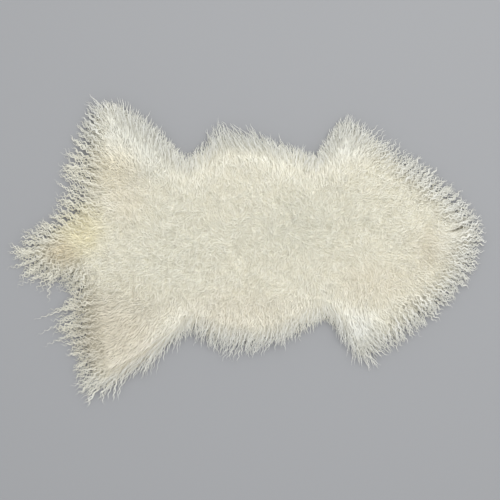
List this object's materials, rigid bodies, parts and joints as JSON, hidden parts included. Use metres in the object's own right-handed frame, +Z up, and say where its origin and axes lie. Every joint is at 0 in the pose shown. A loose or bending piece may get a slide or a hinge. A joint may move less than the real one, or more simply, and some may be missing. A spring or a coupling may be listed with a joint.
{
  "type": "sheepskin rug",
  "caption": "Long-haired curly cream sheepskin rug in the outline of the animal, with two forelegs, two hind legs and a tail, lying flat.",
  "frame": {"origin": "on the floor, under the middle of the rug's reach", "axes": "+X from the tail to the neck, +Y to the side of the longer upper legs, +Z up"},
  "size_m": [0.9472, 0.6208, 0.0492],
  "materials": {
    "tanned_skin": "matt suede, pale tan",
    "wool": "soft curly wool, cream with a yellower patch at the tail"
  },
  "bodies": {
    "root": {"hide": "tanned_skin", "fleece": "wool"}
  },
  "joints": []
}
